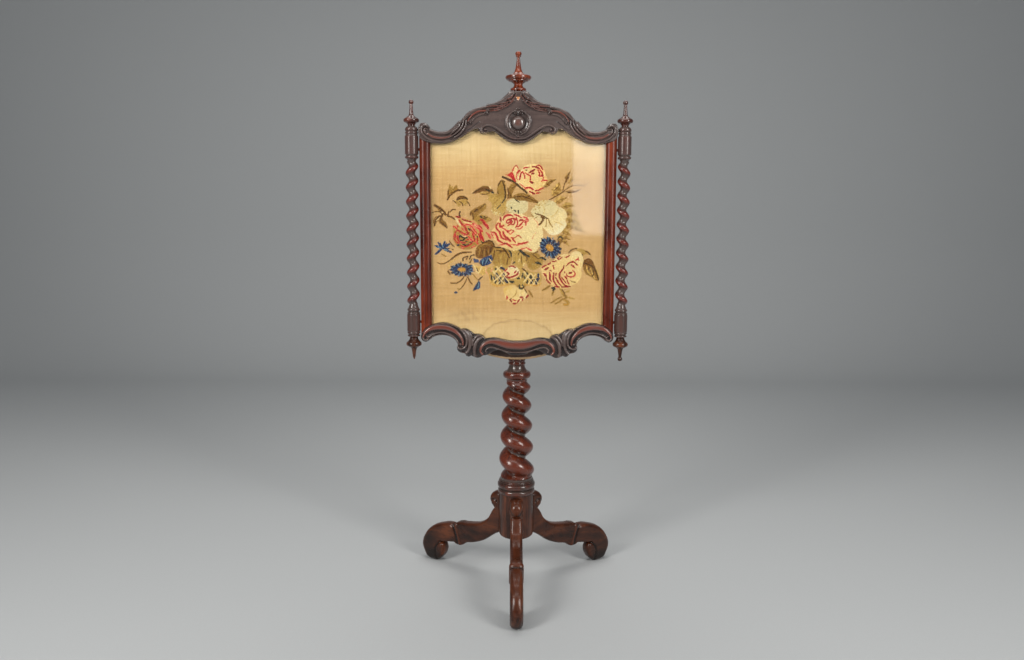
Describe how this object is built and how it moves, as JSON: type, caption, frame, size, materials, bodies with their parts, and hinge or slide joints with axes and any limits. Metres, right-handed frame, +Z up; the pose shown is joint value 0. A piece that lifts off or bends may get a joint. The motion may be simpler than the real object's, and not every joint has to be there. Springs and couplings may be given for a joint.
{
  "type": "pole screen",
  "caption": "Pole screen: a glazed needlework panel in a carved frame with barley-twist side columns, sliding and turning on a pole in a barley-twist stand with scroll legs.",
  "frame": {"origin": "on the floor, on the axis of the pole and column", "axes": "+Z up along the pole, front of the panel towards -Y, +X to the viewer's right"},
  "size_m": [0.5602, 0.4645, 1.37],
  "materials": {
    "dark_mahogany": "dark polished carved mahogany",
    "red_mahogany": "reddish polished turned mahogany",
    "plain_wood": "unpolished, worn",
    "canvas": "wool needlework on canvas",
    "glass": "clear old sheet glass",
    "brass": "dull lacquered brass"
  },
  "bodies": {
    "stand": {"hub": "red_mahogany", "column": "red_mahogany", "leg_front": "dark_mahogany", "leg_left": "dark_mahogany", "leg_right": "dark_mahogany"},
    "pole": {"pole": "red_mahogany", "pole_finial": "red_mahogany"},
    "screen": {"crest_rail": "dark_mahogany", "bottom_rail": "dark_mahogany", "left_stile": "red_mahogany", "right_stile": "red_mahogany", "left_side_column": "red_mahogany", "right_side_column": "red_mahogany", "left_top_finial": "red_mahogany", "right_top_finial": "red_mahogany", "left_drop": "red_mahogany", "right_drop": "red_mahogany", "glass": "glass", "needlework": "canvas", "backboard": "plain_wood", "back_beads": "red_mahogany", "mounting_cleat": "plain_wood", "upper_bracket": "brass", "lower_bracket": "brass", "bracket_screws": "brass", "cleat_screws": "brass", "side_dowels": "red_mahogany"},
    "thumbscrew": {"thumbscrew": "brass"}
  },
  "joints": [
    {"name": "pole_swivel", "type": "hinge", "parent": "stand", "child": "pole", "pos_m": [0, 0, 0.6], "axis": [0, 0, 1], "continuous": true},
    {"name": "screen_height", "type": "slide", "parent": "pole", "child": "screen", "axis": [0, 0, 1], "range_m": [0, 0.07]},
    {"name": "thumbscrew_turn", "type": "hinge", "parent": "screen", "child": "thumbscrew", "pos_m": [0, 0.02, 0.655], "axis": [0, 1, 0], "range_deg": [0, 360]}
  ]
}
